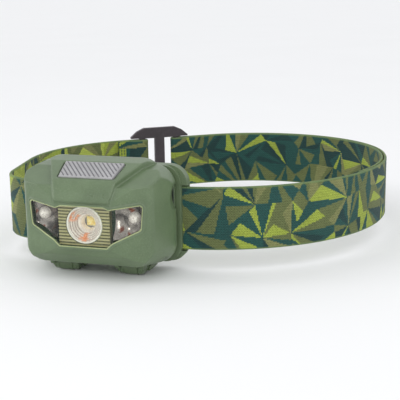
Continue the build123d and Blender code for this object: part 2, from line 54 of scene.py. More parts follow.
# ---- the CAD source's driving dimensions that the pieces here need, in mm ----
BAND_WIDTH = 25.0
BAND_THICK = 1.2
BAND_Y = 0.4
FRONT_RUN_RIGHT = 26.0
FRONT_RUN_LEFT = 32.0
RIGHT_ARC = (73.0, 107.0)
REAR_ARC = (60.0, 109.0)
LEFT_ARC = (58.0, 65.0)
CORNER_RADIUS = 19.0
CORNER_TURN = 360.0 - RIGHT_ARC[1] - REAR_ARC[1] - LEFT_ARC[1]
TAIL_TURN = 40.0
LAYER_STEP = BAND_THICK + 0.3
BEND_RADIUS = 6.0
SEAM_TURN = 3.5
SLIDER_SHIFT = 4.6
SLIDER_THICK = 2.0
CENTRE_BAR = 4.9
SLOT_WIDTH = 4.8
OUTER_BAR = 3.0
BAR_CENTRE = CENTRE_BAR / 2 + SLOT_WIDTH + SLIDER_THICK / 2
WRAP_RADIUS = SLIDER_THICK / 2 + 0.15 + BAND_THICK / 2
LENS_Z = 1.7
LENS_FRONT = -25.2
LENS_REAR = -18.9
SHELL_FRONT = -26.8
PANE_OUTLINE = [
    (0, 9.4),
    (8.6, 9.4),
    (10.6, 8.5),
    (23.0, 10.3),
    (22.2, 0.4),
    (11.8, -4.6),
    (9.6, -6.6),
    (0, -6.6),
]
SIDE_LAMP_X = 18.3
SIDE_LAMP_Z = 4.3
BUTTON_SLOPE = 21.0
BUTTON_LENGTH = 10.6
BUTTON_REAR_WIDTH = 24.0
BUTTON_FRONT_WIDTH = 21.6
BUTTON_Y = -17.6
BUTTON_Z = 21.05
BUTTON_PROUD = 0.6

# ---- the lamp's face, in plan: flat as far as WING_X, then swept back, in mm ----
WING_X = 10.9
WING_SLOPE = 0.306

# ---- sizes of the pieces made here, in mm ----
EDGE_BEAD = 0.3
CUP_FLOOR = -19.5
CUP_BACK = -19.0
CUP_INNER = ((11.35, -4.5), (11.35, 8.3))
CUP_OUTER = ((22.0, 0.6), (22.75, 10.0))
CUP_CLEARANCE = 2.1
CUP_FLAT_RADIUS = 2.3
CUP_RISE = 0.115
CUP_POWER = 1.9
GROOVE_DEPTH = 0.34

# ---- where the lamp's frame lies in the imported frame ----
BRACKET_REAR_Y = 3.2
BRACKET_BOTTOM_Z = -20.4
low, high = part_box("bracket")
LAMP = Vector((
    (low.x + high.x) / 2,
    high.y - BRACKET_REAR_Y / 1000,
    low.z - BRACKET_BOTTOM_Z / 1000,
))


def at(x, y, z):
    """A point of the lamp's frame, in mm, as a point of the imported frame."""
    return LAMP + Vector((x, y, z)) / 1000


# ---------------------------------------------------------------- materials

def add(tree, kind, inputs=None, **settings):
    """Add a node; an input is either a value or another node's output."""
    node = tree.nodes.new("ShaderNode" + kind)
    for key, value in settings.items():
        setattr(node, key, value)
    for key, value in (inputs or {}).items():
        if isinstance(value, bpy.types.NodeSocket):
            tree.links.new(value, node.inputs[key])
        else:
            node.inputs[key].default_value = value
    return node


def maths(tree, operation, *values, clamp=False):
    """Output of a Math node."""
    inputs = dict(enumerate(values))
    return add(tree, "Math", inputs, operation=operation, use_clamp=clamp).outputs[0]


def mixed(tree, factor, a, b, blend="MIX"):
    """Output of a colour Mix node."""
    inputs = {0: factor, 6: a, 7: b}
    return add(tree, "Mix", inputs, data_type="RGBA", blend_type=blend).outputs[2]


def spread(tree, value, low, high, to_low=0.0, to_high=1.0):
    """Map a value from one span to another, clamped."""
    inputs = {"Value": value, "From Min": low, "From Max": high, "To Min": to_low, "To Max": to_high}
    return add(tree, "MapRange", inputs).outputs[0]


def rgb(r, g, b):
    """A display colour of 0 to 255 as linear colour with alpha."""
    def linear(v):
        v = v / 255
        return v / 12.92 if v <= 0.04045 else ((v + 0.055) / 1.055) ** 2.4
    return (linear(r), linear(g), linear(b), 1.0)


def new_material(name):
    """Empty node material with its Principled shader."""
    material = bpy.data.materials.new(name)
    material.use_nodes = True
    tree = material.node_tree
    return material, tree, tree.nodes["Principled BSDF"]


def noise(tree, scale, detail=3.0, roughness=0.55, vector=None):
    """Noise in the object's own coordinates."""
    if vector is None:
        vector = add(tree, "TexCoord").outputs["Object"]
    inputs = {"Vector": vector, "Scale": scale, "Detail": detail, "Roughness": roughness}
    return add(tree, "TexNoise", inputs).outputs[0]


def bumped(tree, height, distance, strength=1.0):
    """Normal with a bump of some height, in metres."""
    inputs = {"Height": height, "Distance": distance, "Strength": strength}
    return add(tree, "Bump", inputs).outputs[0]


def edge_mask(tree, radius):
    """1 on sharp edges and 0 on flat faces."""
    bevel = add(tree, "Bevel", {"Radius": radius}, samples=4).outputs[0]
    flat = add(tree, "NewGeometry").outputs["Normal"]
    dot = add(tree, "VectorMath", {0: bevel, 1: flat}, operation="DOT_PRODUCT").outputs["Value"]
    return spread(tree, dot, 0.995, 0.86)


def moulded(name, tones, roughness, grain, depth, edge_wear_and_highlight=0.0, round_off=0.0):
    """Moulded plastic of close tones (main, dark, light), with fine grain, and sharp edges lightened partly
    as wear and partly as painted highlight.
    """
    material, tree, shader = new_material(name)
    colour, dark, light = tones
    blotch = noise(tree, 90.0, 4.0)
    tone = mixed(tree, spread(tree, blotch, 0.35, 0.68), dark, colour)
    fine = noise(tree, grain, 2.0)
    tone = mixed(tree, spread(tree, fine, 0.45, 0.9, 0.0, 0.35), tone, light)
    # Lighter sharp edges: partly wear, partly a painted highlight along the edges.
    if edge_wear_and_highlight:
        tone = mixed(tree, maths(tree, "MULTIPLY", edge_mask(tree, 0.0006), edge_wear_and_highlight), tone, light)
    tree.links.new(tone, shader.inputs["Base Color"])
    gloss = maths(tree, "ADD", spread(tree, blotch, 0.3, 0.7, -0.02, 0.04), roughness)
    tree.links.new(gloss, shader.inputs["Roughness"])
    bump = add(tree, "Bump", {"Height": fine, "Distance": depth, "Strength": 0.7})
    if round_off:
        soft = add(tree, "Bevel", {"Radius": round_off}, samples=8).outputs[0]
        tree.links.new(soft, bump.inputs["Normal"])
    tree.links.new(bump.outputs[0], shader.inputs["Normal"])
    return material


def rubber_with_painted_shade(name, colour, light, dark):
    """Matt rubber, with painted shade where the pattern is cut in."""
    material, tree, shader = new_material(name)
    cloud, fine = noise(tree, 260.0, 3.0), noise(tree, 2200.0, 2.0)
    tone = mixed(tree, spread(tree, cloud, 0.35, 0.7), colour, light)
    cut = add(tree, "Attribute", attribute_name="cut").outputs["Fac"]
    # Painted shade: darker in the cut pattern's grooves.
    tone = mixed(tree, spread(tree, cut, 0.15, 0.85), tone, dark)
    tree.links.new(tone, shader.inputs["Base Color"])
    tree.links.new(spread(tree, fine, 0.3, 0.7, 0.55, 0.7), shader.inputs["Roughness"])
    tree.links.new(bumped(tree, fine, 0.00005, 0.7), shader.inputs["Normal"])
    return material


def ribbed_with_painted_shade(name, crest, painted_shade_tone, crest_y, groove_y):
    """Ribbed panel: pale on the ribs' crests, with painted shade in the grooves between."""
    material, tree, shader = new_material(name)
    place = add(tree, "TexCoord").outputs["Object"]
    y = add(tree, "SeparateXYZ", {0: place}).outputs[1]
    # Painted shade: darker the deeper a point lies between the ribs.
    depth = spread(tree, y, at(0, crest_y, 0).y, at(0, groove_y, 0).y)
    fine = noise(tree, 2000.0, 2.0)
    tone = mixed(tree, depth, crest, painted_shade_tone)
    tone = mixed(tree, spread(tree, fine, 0.4, 0.8, 0.0, 0.25), tone, crest)
    tree.links.new(tone, shader.inputs["Base Color"])
    tree.links.new(spread(tree, fine, 0.3, 0.7, 0.35, 0.5), shader.inputs["Roughness"])
    tree.links.new(bumped(tree, fine, 0.00003, 0.6), shader.inputs["Normal"])
    return material


def metal(name, colour, tint, roughness, scratch_scale, depth=0.00001):
    """Metal with faint streaks and uneven polish."""
    material, tree, shader = new_material(name)
    place = add(tree, "TexCoord").outputs["Object"]
    stretched = add(tree, "Mapping", {"Vector": place, "Scale": (1.0, 1.0, 9.0)}).outputs[0]
    streak = noise(tree, scratch_scale, 4.0, vector=stretched)
    cloud = noise(tree, 160.0, 3.0)
    tree.links.new(mixed(tree, spread(tree, cloud, 0.35, 0.7), colour, tint), shader.inputs["Base Color"])
    tree.links.new(spread(tree, streak, 0.3, 0.7, roughness, roughness + 0.12), shader.inputs["Roughness"])
    tree.links.new(bumped(tree, streak, depth, 0.5), shader.inputs["Normal"])
    shader.inputs["Metallic"].default_value = 1.0
    return material


def clear_plastic(name, tint, gloss, haze, roughness=0.03):
    """Thin clear plastic: what is behind shows through, under a glossy skin."""
    material, tree, shader = new_material(name)
    tree.nodes.remove(shader)
    see = add(tree, "BsdfTransparent", {"Color": tint}).outputs[0]
    smear = noise(tree, 260.0, 4.0)
    rough = spread(tree, smear, 0.35, 0.75, roughness, roughness + 0.1)
    skin_inputs = {"Color": (1.0, 1.0, 1.0, 1.0), "Roughness": rough}
    skin = add(tree, "BsdfAnisotropic", skin_inputs).outputs[0]
    milk = add(tree, "BsdfDiffuse", {"Color": (0.9, 0.92, 0.9, 1.0)}).outputs[0]
    body = add(tree, "MixShader", {0: haze, 1: see, 2: milk}).outputs[0]
    facing = add(tree, "LayerWeight", {"Blend": 0.5}).outputs["Facing"]
    share = maths(tree, "MULTIPLY_ADD", maths(tree, "POWER", facing, 4.0), 0.9, gloss, clamp=True)
    out = add(tree, "MixShader", {0: share, 1: body, 2: skin}).outputs[0]
    tree.links.new(out, tree.nodes["Material Output"].inputs["Surface"])
    return material


TEAL = rgb(28, 78, 72)
DEEP_TEAL = rgb(20, 60, 58)
OLIVE = rgb(102, 112, 66)
OLIVE_LIGHT = rgb(128, 132, 82)
LIME = rgb(156, 172, 66)
LIME_PALE = rgb(176, 190, 84)


def woven(name, tones, edge_tone):
    """Jacquard elastic: the yarn of each stitch, ribs along it, plain selvedge."""
    material, tree, shader = new_material(name)
    uv = add(tree, "UVMap", uv_map="weave").outputs[0]
    parts = add(tree, "SeparateXYZ", {0: uv})
    u, v = parts.outputs[0], parts.outputs[1]
    yarn_number = add(tree, "Attribute", attribute_name="yarn").outputs["Fac"]
    ramp = add(tree, "ValToRGB", {0: yarn_number})
    ramp.color_ramp.interpolation = "CONSTANT"
    stops = ramp.color_ramp.elements
    stops[0].color = tones[0]
    stops[1].position = 0.5 / len(tones)
    stops[1].color = tones[1]
    for number, tone in enumerate(tones[2:], start=2):
        stops.new((number - 0.5) / len(tones)).color = tone
    stitch = maths(tree, "SINE", maths(tree, "MULTIPLY", u, 2 * pi / 0.0010))
    row = maths(tree, "SINE", maths(tree, "MULTIPLY", v, 2 * pi / 0.0010))
    weave = maths(tree, "MULTIPLY", stitch, row)
    height = maths(tree, "MULTIPLY_ADD", weave, 0.5, maths(tree, "MULTIPLY_ADD", row, 0.25, 0.5))
    fuzz = noise(tree, 1400.0, 2.0)
    fade = noise(tree, 60.0, 3.0)
    shade = maths(tree, "MULTIPLY_ADD", height, 0.34, maths(tree, "MULTIPLY_ADD", fuzz, 0.7, 0.34))
    shade = maths(tree, "ADD", shade, spread(tree, fade, 0.3, 0.7, -0.1, 0.08))
    grey = add(tree, "CombineColor", {0: shade, 1: shade, 2: shade}).outputs[0]
    colour = mixed(tree, 1.0, ramp.outputs[0], grey, "MULTIPLY")
    rim = spread(tree, maths(tree, "ABSOLUTE", v), 0.0117, 0.0121)
    colour = mixed(tree, maths(tree, "MULTIPLY", rim, 0.75), colour, edge_tone)
    tree.links.new(colour, shader.inputs["Base Color"])
    tree.links.new(spread(tree, height, 0.0, 1.0, 0.95, 0.78), shader.inputs["Roughness"])
    tree.links.new(bumped(tree, height, 0.00016, 0.9), shader.inputs["Normal"])
    shader.inputs["Sheen Weight"].default_value = 0.06
    shader.inputs["Sheen Roughness"].default_value = 0.45
    return material


def thread(name, colour, light):
    """Sewing thread: twisted strands."""
    material, tree, shader = new_material(name)
    place = add(tree, "TexCoord").outputs["Object"]
    wave = add(tree, "TexWave", {"Vector": place, "Scale": 900.0, "Distortion": 2.0},
               bands_direction="DIAGONAL")
    tree.links.new(mixed(tree, wave.outputs[1], colour, light), shader.inputs["Base Color"])
    tree.links.new(spread(tree, wave.outputs[1], 0, 1, 0.7, 0.9), shader.inputs["Roughness"])
    tree.links.new(bumped(tree, wave.outputs[1], 0.00005), shader.inputs["Normal"])
    return material


def banded(name, wrap, light, steel, middle, reach):
    """Cell in a plain sleeve, with bare metal further than a reach from its middle."""
    material, tree, shader = new_material(name)
    place = add(tree, "TexCoord").outputs["Object"]
    x = add(tree, "SeparateXYZ", {0: place}).outputs[0]
    from_middle = maths(tree, "ABSOLUTE", maths(tree, "SUBTRACT", x, middle))
    bare = maths(tree, "GREATER_THAN", from_middle, reach)
    cloud = noise(tree, 300.0)
    sleeve = mixed(tree, cloud, wrap, light)
    tree.links.new(mixed(tree, bare, sleeve, steel), shader.inputs["Base Color"])
    tree.links.new(bare, shader.inputs["Metallic"])
    tree.links.new(spread(tree, cloud, 0.3, 0.7, 0.25, 0.38), shader.inputs["Roughness"])
    tree.links.new(bumped(tree, noise(tree, 2500.0), 0.00001), shader.inputs["Normal"])
    return material


def board(name, mask, trace):
    """Circuit board: tracks under a green mask."""
    material, tree, shader = new_material(name)
    place = add(tree, "TexCoord").outputs["Object"]
    flat = add(tree, "Mapping", {"Vector": place, "Rotation": (radians(90), 0, 0)}).outputs[0]
    brick = add(tree, "TexBrick", {"Vector": flat, "Scale": 260.0, "Mortar Size": 0.06, "Color1": mask,
                                   "Color2": mask, "Mortar": trace})
    cloud = noise(tree, 800.0)
    tree.links.new(mixed(tree, maths(tree, "MULTIPLY", cloud, 0.3), brick.outputs[0], trace),
                   shader.inputs["Base Color"])
    tree.links.new(spread(tree, cloud, 0.3, 0.7, 0.3, 0.45), shader.inputs["Roughness"])
    tree.links.new(bumped(tree, brick.outputs[1], 0.00004), shader.inputs["Normal"])
    return material


def with_painted_glow(name, colour, pale, light, roughness):
    """Emitter: mottled and glossy, with a painted glow; the LED is not lit."""
    material, tree, shader = new_material(name)
    cloud = noise(tree, 1500.0, 3.0)
    tone = mixed(tree, spread(tree, cloud, 0.4, 0.65), colour, pale)
    tree.links.new(tone, shader.inputs["Base Color"])
    tree.links.new(tone, shader.inputs["Emission Color"])
    tree.links.new(spread(tree, cloud, 0.3, 0.7, roughness, roughness + 0.12), shader.inputs["Roughness"])
    tree.links.new(bumped(tree, cloud, 0.00003), shader.inputs["Normal"])
    # Painted glow: emission that lifts the emitter, though it is not lit.
    shader.inputs["Emission Strength"].default_value = light
    shader.inputs["Coat Weight"].default_value = 0.6
    return material


def silvered(name, silver, shade, painted_shade_tone, warm_reflection_tone):
    """Bright stepped lens: silver facets, painted shade on the steps, painted warm reflections, and a painted
    glow.
    """
    material, tree, shader = new_material(name)
    cloud = noise(tree, 420.0, 2.0)
    tone = mixed(tree, spread(tree, cloud, 0.42, 0.66), silver, shade)
    warm_reflection_mask = add(tree, "Attribute", attribute_name="warm_reflection").outputs["Fac"]
    speck = spread(tree, noise(tree, 620.0, 2.0), 0.4, 0.56)
    # Painted shade on the steps' risers, darker in rings.
    step = add(tree, "Attribute", attribute_name="step").outputs["Fac"]
    tone = mixed(tree, maths(tree, "MULTIPLY", step, 0.8), tone, painted_shade_tone)
    # Painted warm reflections, in patches.
    tone = mixed(tree, maths(tree, "MULTIPLY", warm_reflection_mask, speck), tone, warm_reflection_tone)
    tree.links.new(tone, shader.inputs["Base Color"])
    tree.links.new(spread(tree, cloud, 0.3, 0.7, 0.18, 0.34), shader.inputs["Roughness"])
    tree.links.new(bumped(tree, noise(tree, 900.0), 0.00001, 0.3), shader.inputs["Normal"])
    tree.links.new(tone, shader.inputs["Emission Color"])
    # Painted glow: the bowl gives off some light of its own.
    shader.inputs["Emission Strength"].default_value = 0.22
    shader.inputs["Metallic"].default_value = 0.3
    return material


def mirror_with_painted_reflections(name, silver, tint, dark, roughness):
    """Vapour-coated reflector: bright, with painted warm and dark reflections in patches."""
    material, tree, shader = new_material(name)
    cloud = noise(tree, 210.0, 2.0)
    reflection_patch = noise(tree, 330.0, 1.0)
    # Painted dark reflections of the lamp's inside, in clouds.
    tone = mixed(tree, spread(tree, cloud, 0.45, 0.62), silver, dark)
    # Painted warm reflections, in patches.
    tone = mixed(tree, spread(tree, reflection_patch, 0.6, 0.68), tone, tint)
    tree.links.new(tone, shader.inputs["Base Color"])
    tree.links.new(spread(tree, cloud, 0.3, 0.7, roughness, roughness + 0.1), shader.inputs["Roughness"])
    tree.links.new(bumped(tree, noise(tree, 900.0), 0.00001, 0.4), shader.inputs["Normal"])
    shader.inputs["Metallic"].default_value = 1.0
    return material


SHELL_TONES = (rgb(97, 116, 84), rgb(86, 104, 74), rgb(138, 154, 125))
BRACKET_TONES = (rgb(96, 113, 82), rgb(84, 101, 72), rgb(134, 150, 121))
SLIDER_TONES = (rgb(60, 51, 56), rgb(48, 41, 46), rgb(104, 94, 99))
EDGE_TONES = (rgb(172, 182, 132), rgb(150, 162, 112), rgb(206, 212, 176))
SWITCH_TONES = (rgb(34, 34, 36), rgb(24, 24, 26), rgb(80, 80, 84))
SEAL_TONES = (rgb(46, 50, 48), rgb(34, 38, 36), rgb(74, 80, 76))
RIM_TONES = (rgb(246, 244, 236), rgb(232, 228, 218), rgb(252, 252, 250))

# The shell's lighter edges are partly wear and partly painted highlight.
SHELL = moulded("shell_green", SHELL_TONES, 0.29, 2600.0, 0.00003, edge_wear_and_highlight=0.4, round_off=0.0012)
BRACKET = moulded("bracket_green", BRACKET_TONES, 0.4, 2400.0, 0.00004, edge_wear_and_highlight=0.3)
SLIDER = moulded("slider_black", SLIDER_TONES, 0.5, 1900.0, 0.00006, edge_wear_and_highlight=0.35)
# The bezel's grooves get painted shade.
BEZEL = ribbed_with_painted_shade("bezel_olive", rgb(176, 170, 124), rgb(84, 86, 46), LENS_FRONT - 0.05, LENS_FRONT + 0.28)
RUBBER = rubber_with_painted_shade("button_rubber", rgb(158, 157, 158), rgb(174, 173, 174), rgb(112, 110, 114))
WINDOW_EDGE = moulded("window_edge", EDGE_TONES, 0.3, 2600.0, 0.00002)
BLACK = moulded("switch_black", SWITCH_TONES, 0.45, 2400.0, 0.00004, edge_wear_and_highlight=0.3)
SEAL = moulded("seal_rubber", SEAL_TONES, 0.75, 1600.0, 0.00008)
STEEL = metal("steel", rgb(188, 188, 190), rgb(150, 150, 154), 0.24, 900.0)
CONTACT = metal("contact_metal", rgb(206, 196, 168), rgb(178, 160, 128), 0.26, 700.0)
BOARD = board("board_green", rgb(24, 84, 52), rgb(72, 132, 84))
# Painted glow on the main LED's yellow phosphor.
YELLOW = with_painted_glow("emitter_yellow", rgb(244, 214, 104), rgb(248, 236, 170), 0.25, 0.3)
WINDOW = clear_plastic("clear_window", (0.97, 0.98, 0.96, 1.0), 0.02, 0.0)
# Painted glow on the side LEDs' domes.
DOME = with_painted_glow("emitter_clear", rgb(240, 232, 226), rgb(190, 178, 172), 0.16, 0.08)
LENS = clear_plastic("lens_clear", (0.98, 0.98, 0.97, 1.0), 0.03, 0.02)
# Side reflector cups with painted warm and dark reflections.
MIRROR = mirror_with_painted_reflections("reflector_metal", rgb(150, 142, 138), rgb(112, 62, 44), rgb(62, 58, 56), 0.14)
# Lens bowl with a painted glow, painted shade on the steps and painted warm reflections.
BOWL = silvered("lens_bowl", rgb(246, 238, 232), rgb(206, 194, 190), rgb(140, 122, 110), rgb(226, 140, 84))

PRINT = woven("band_fabric", [TEAL, OLIVE, LIME, DEEP_TEAL, OLIVE_LIGHT], rgb(104, 126, 78))
REVERSE = woven("band_reverse", [OLIVE, LIME, DEEP_TEAL, LIME_PALE, OLIVE_LIGHT], rgb(104, 126, 78))
THREAD = thread("seam_thread", rgb(24, 54, 50), rgb(58, 92, 80))


# ---------------------------------------------------------------- mesh helpers

def mesh_piece(name, verts, faces, materials, smooth=True):
    """New mesh object from points in metres, its faces turned outwards."""
    mesh = bpy.data.meshes.new(name)
    mesh.from_pydata([tuple(v) for v in verts], [], faces)
    for material in materials:
        mesh.materials.append(material)
    work = bmesh.new()
    work.from_mesh(mesh)
    bmesh.ops.remove_doubles(work, verts=work.verts, dist=1e-7)
    bmesh.ops.recalc_face_normals(work, faces=work.faces)
    for face in work.faces:
        face.smooth = smooth
    work.to_mesh(mesh)
    work.free()
    piece = bpy.data.objects.new(name, mesh)
    scene.collection.objects.link(piece)
    return piece


def lathe(name, outline, centre, material, steps=96):
    """Solid of revolution about a line along Y; outline is (radius, y) in mm."""
    verts, faces = [], []
    count = len(outline)
    for i in range(steps):
        angle = 2 * pi * i / steps
        for radius, y in outline:
            verts.append(at(centre[0] + radius * cos(angle), y, centre[1] + radius * sin(angle)))
    for i in range(steps):
        for j in range(count):
            a, b = i * count + j, i * count + (j + 1) % count
            step = ((i + 1) % steps) * count
            faces.append((a, b, step + (j + 1) % count, step + j))
    return mesh_piece(name, verts, faces, [material])


def sharpen(piece, angle=35.0):
    """Smooth shading, but with crisp edges above an angle."""
    mesh = piece.data
    mesh.set_sharp_from_angle(angle=radians(angle))


def soften(piece, width, segments=2):
    """Small rounding on the edges of a hard part."""
    bevel = piece.modifiers.new("edges", "BEVEL")
    bevel.width = width
    bevel.segments = segments
    bevel.limit_method = "ANGLE"
    bevel.angle_limit = radians(35)
    bevel.harden_normals = False


def dress(node, material, bevel=0.0):
    """Give a CAD node its material, and rounded edges if asked."""
    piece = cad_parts[node]
    piece.data.materials.clear()
    piece.data.materials.append(material)
    if bevel:
        soften(piece, bevel)


# ---------------------------------------------------------------- head band

STITCH = 0.5
ACROSS = 50
HUB_STEP = 14.0
HUB_ROWS = (-17.0, -5.0, 6.0, 17.5)
YARN_SHARES = (0.36, 0.66, 0.77, 0.92, 1.0)


class Route:
    """A flat ribbon in plan: points with a heading, along runs and arcs."""

    def __init__(self, x, y, heading):
        self.x, self.y, self.heading = x, y, radians(heading)
        self.points = [(x, y, self.heading, 0.0)]
        self.length = 0.0

    def keep(self, step):
        """Note the present place as a point of the route, one step further on."""
        self.length += step
        self.points.append((self.x, self.y, self.heading, self.length))

    def run(self, length):
        """Go straight on."""
        count = max(1, round(length / STITCH))
        for _ in range(count):
            self.x += length / count * cos(self.heading)
            self.y += length / count * sin(self.heading)
            self.keep(length / count)

    def arc(self, radius, turn):
        """Turn by an angle in degrees, to the left if positive."""
        swing = radius if turn > 0 else -radius
        cx = self.x - swing * sin(self.heading)
        cy = self.y + swing * cos(self.heading)
        size = radius * radians(abs(turn))
        count = max(4, round(size / STITCH))
        for _ in range(count):
            self.heading += radians(turn) / count
            self.x = cx + swing * sin(self.heading)
            self.y = cy - swing * cos(self.heading)
            self.keep(size / count)


def closing_runs():
    """Lengths of the slider's run and the left run that close the loop."""
    heading, x, y = 0.0, FRONT_RUN_RIGHT + FRONT_RUN_LEFT, 0.0
    headings = []
    for radius, turn in (RIGHT_ARC, REAR_ARC, LEFT_ARC, (CORNER_RADIUS, CORNER_TURN)):
        after = heading + radians(turn)
        x += radius * (sin(after) - sin(heading))
        y += radius * (cos(heading) - cos(after))
        heading = after
        headings.append(heading)
    a, b = headings[1], headings[2]
    det = cos(a) * sin(b) - sin(a) * cos(b)
    return (-x * sin(b) + y * cos(b)) / det, (-y * cos(a) + x * sin(a)) / det


SLIDER_RUN, LEFT_RUN = closing_runs()


def wrap_and_return(route, way, onward):
    """Turn round a slider bar and come back inside the outer layer."""
    past_bar = OUTER_BAR - SLIDER_THICK / 2 + 0.6
    shift = WRAP_RADIUS - LAYER_STEP / 2
    turn = degrees(acos(1 - shift / BEND_RADIUS))
    route.arc(WRAP_RADIUS, 180 * way)
    route.run(past_bar)
    route.arc(BEND_RADIUS, turn * way)
    route.arc(BEND_RADIUS, -turn * way)
    route.run(onward - past_bar - 2 * BEND_RADIUS * sin(radians(turn)))


def right_route():
    """From behind the lamp, round the right side, through the slider and back."""
    straight = SLIDER_RUN / 2 + SLIDER_SHIFT - BAR_CENTRE
    route = Route(0, BAND_Y, 0)
    route.run(FRONT_RUN_RIGHT)
    route.arc(*RIGHT_ARC)
    route.arc(*REAR_ARC)
    route.run(straight)
    wrap_and_return(route, 1, straight)
    route.arc(REAR_ARC[0] - LAYER_STEP, -REAR_ARC[1])
    route.arc(RIGHT_ARC[0] - LAYER_STEP, -TAIL_TURN)
    return route


def left_route():
    """From behind the lamp, round the left side, and sewn round the slider."""
    straight = SLIDER_RUN / 2 - SLIDER_SHIFT - BAR_CENTRE
    route = Route(0, BAND_Y, 180)
    route.run(FRONT_RUN_LEFT)
    route.arc(CORNER_RADIUS, -CORNER_TURN)
    route.run(LEFT_RUN)
    route.arc(LEFT_ARC[0], -LEFT_ARC[1])
    route.run(straight)
    wrap_and_return(route, -1, straight)
    route.arc(LEFT_ARC[0] - LAYER_STEP, SEAM_TURN)
    return route


def shard_triangles(length, seed):
    """Thin triangles that meet at scattered hubs, each with its yarn number."""
    chance = random.Random(seed)
    hubs = []
    for column in range(-1, int(length / HUB_STEP) + 3):
        for row in HUB_ROWS:
            u = HUB_STEP * (column + (0.5 if row in HUB_ROWS[1::2] else 0.0))
            hubs.append(Vector((u + chance.uniform(-4.2, 4.2), row + chance.uniform(-3.6, 3.6))))
    found = geometry.delaunay_2d_cdt(hubs, [], [], 0, 1e-6)
    shards = []
    for face in found[2]:
        first = chance.randrange(3)
        a, b, c = [found[0][face[(first + k) % 3]] for k in range(3)]
        cuts = [0.0, chance.uniform(0.22, 0.45), chance.uniform(0.55, 0.78), 1.0]
        yarn = None
        for start, end in zip(cuts, cuts[1:]):
            yarn = pick_yarn(chance, yarn)
            shards.append((a, b.lerp(c, start), b.lerp(c, end), yarn))
    return shards


def pick_yarn(chance, not_this):
    """A yarn number by its share of the cloth, unlike its neighbour's."""
    while True:
        draw = chance.random()
        yarn = next(n for n, share in enumerate(YARN_SHARES) if draw <= share)
        if yarn != not_this:
            return yarn


def yarn_grid(columns, seed):
    """Yarn number of each stitch of a stretch of band, column by column."""
    grid = [[0] * ACROSS for _ in range(columns)]
    rise = BAND_WIDTH / ACROSS
    for a, b, c, yarn in shard_triangles(columns * STITCH, seed):
        low = max(0, int(min(a.x, b.x, c.x) / STITCH) - 1)
        high = min(columns - 1, int(max(a.x, b.x, c.x) / STITCH) + 1)
        for i in range(low, high + 1):
            for j in range(ACROSS):
                place = Vector(((i + 0.5) * STITCH, (j + 0.5) * rise - BAND_WIDTH / 2))
                if geometry.intersect_point_tri_2d(place, a, b, c):
                    grid[i][j] = yarn
    return grid


def band_section():
    """Half the band's cross-section, one face: (height, half thickness) in mm."""
    half, thick = BAND_WIDTH / 2, BAND_THICK / 2
    rows = []
    for i in range(ACROSS + 1):
        v = -half + BAND_WIDTH * i / ACROSS
        edge = (half - abs(v)) / 1.4
        body = thick * (0.90 + 0.05 * cos(2 * pi * v / 1.56))
        if edge < 0.2:
            body = thick * (0.45 + 2.6 * edge)
        elif edge < 1:
            body = thick * 0.97
        rows.append((v, min(body, thick)))
    return rows


def ribbon(route, printed, seed):
    """Points, faces, UVs, material and yarn numbers of one stretch of band."""
    rows = band_section()
    loop = [(v, t, 1) for v, t in rows] + [(v, -t, -1) for v, t in reversed(rows)]
    count = len(loop)
    grid = yarn_grid(len(route.points) - 1, seed)
    verts, faces, uvs, marks, yarns = [], [], [], [], []
    for x, y, heading, _ in route.points:
        for v, t, _side in loop:
            verts.append(at(x - t * printed * sin(heading), y + t * printed * cos(heading), v))
    for i in range(len(route.points) - 1):
        u0, u1 = route.points[i][3] / 1000, route.points[i + 1][3] / 1000
        for j in range(count):
            k = (j + 1) % count
            faces.append((i * count + j, i * count + k, (i + 1) * count + k, (i + 1) * count + j))
            v0, v1 = loop[j][0] / 1000, loop[k][0] / 1000
            uvs.append([(u0, v0), (u0, v1), (u1, v1), (u1, v0)])
            marks.append(0 if loop[j][2] > 0 else 1)
            yarns.append(grid[i][max(0, min(j, ACROSS - 1, count - 2 - j))])
    for end in (0, len(route.points) - 1):
        u = route.points[end][3] / 1000
        for j in range(ACROSS):
            quad = [j, j + 1, count - 2 - j, count - 1 - j]
            faces.append(tuple(end * count + q for q in quad))
            uvs.append([(u, loop[q][0] / 1000) for q in quad])
            marks.append(0)
            yarns.append(0)
    return verts, faces, uvs, marks, yarns


def band_piece(name, route, printed, seed):
    """One stretch of band as a mesh with its weave laid along it."""
    verts, faces, uvs, marks, yarns = ribbon(route, printed, seed)
    mesh = bpy.data.meshes.new(name)
    mesh.from_pydata([tuple(v) for v in verts], [], faces)
    mesh.materials.append(PRINT)
    mesh.materials.append(REVERSE)
    yarn_of = mesh.attributes.new("yarn", "FLOAT", "FACE")
    yarn_of.data.foreach_set("value", [yarn / len(YARN_SHARES) for yarn in yarns])
    layer = mesh.uv_layers.new(name="weave")
    for polygon, corners, mark in zip(mesh.polygons, uvs, marks):
        polygon.material_index = mark
        polygon.use_smooth = True
        for loop_index, corner in zip(polygon.loop_indices, corners):
            layer.data[loop_index].uv = corner
    work = bmesh.new()
    work.from_mesh(mesh)
    bmesh.ops.recalc_face_normals(work, faces=work.faces)
    work.to_mesh(mesh)
    work.free()
    mesh.set_sharp_from_angle(angle=radians(55))
    piece = bpy.data.objects.new(name, mesh)
    scene.collection.objects.link(piece)
    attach(piece, "holder")
    return piece


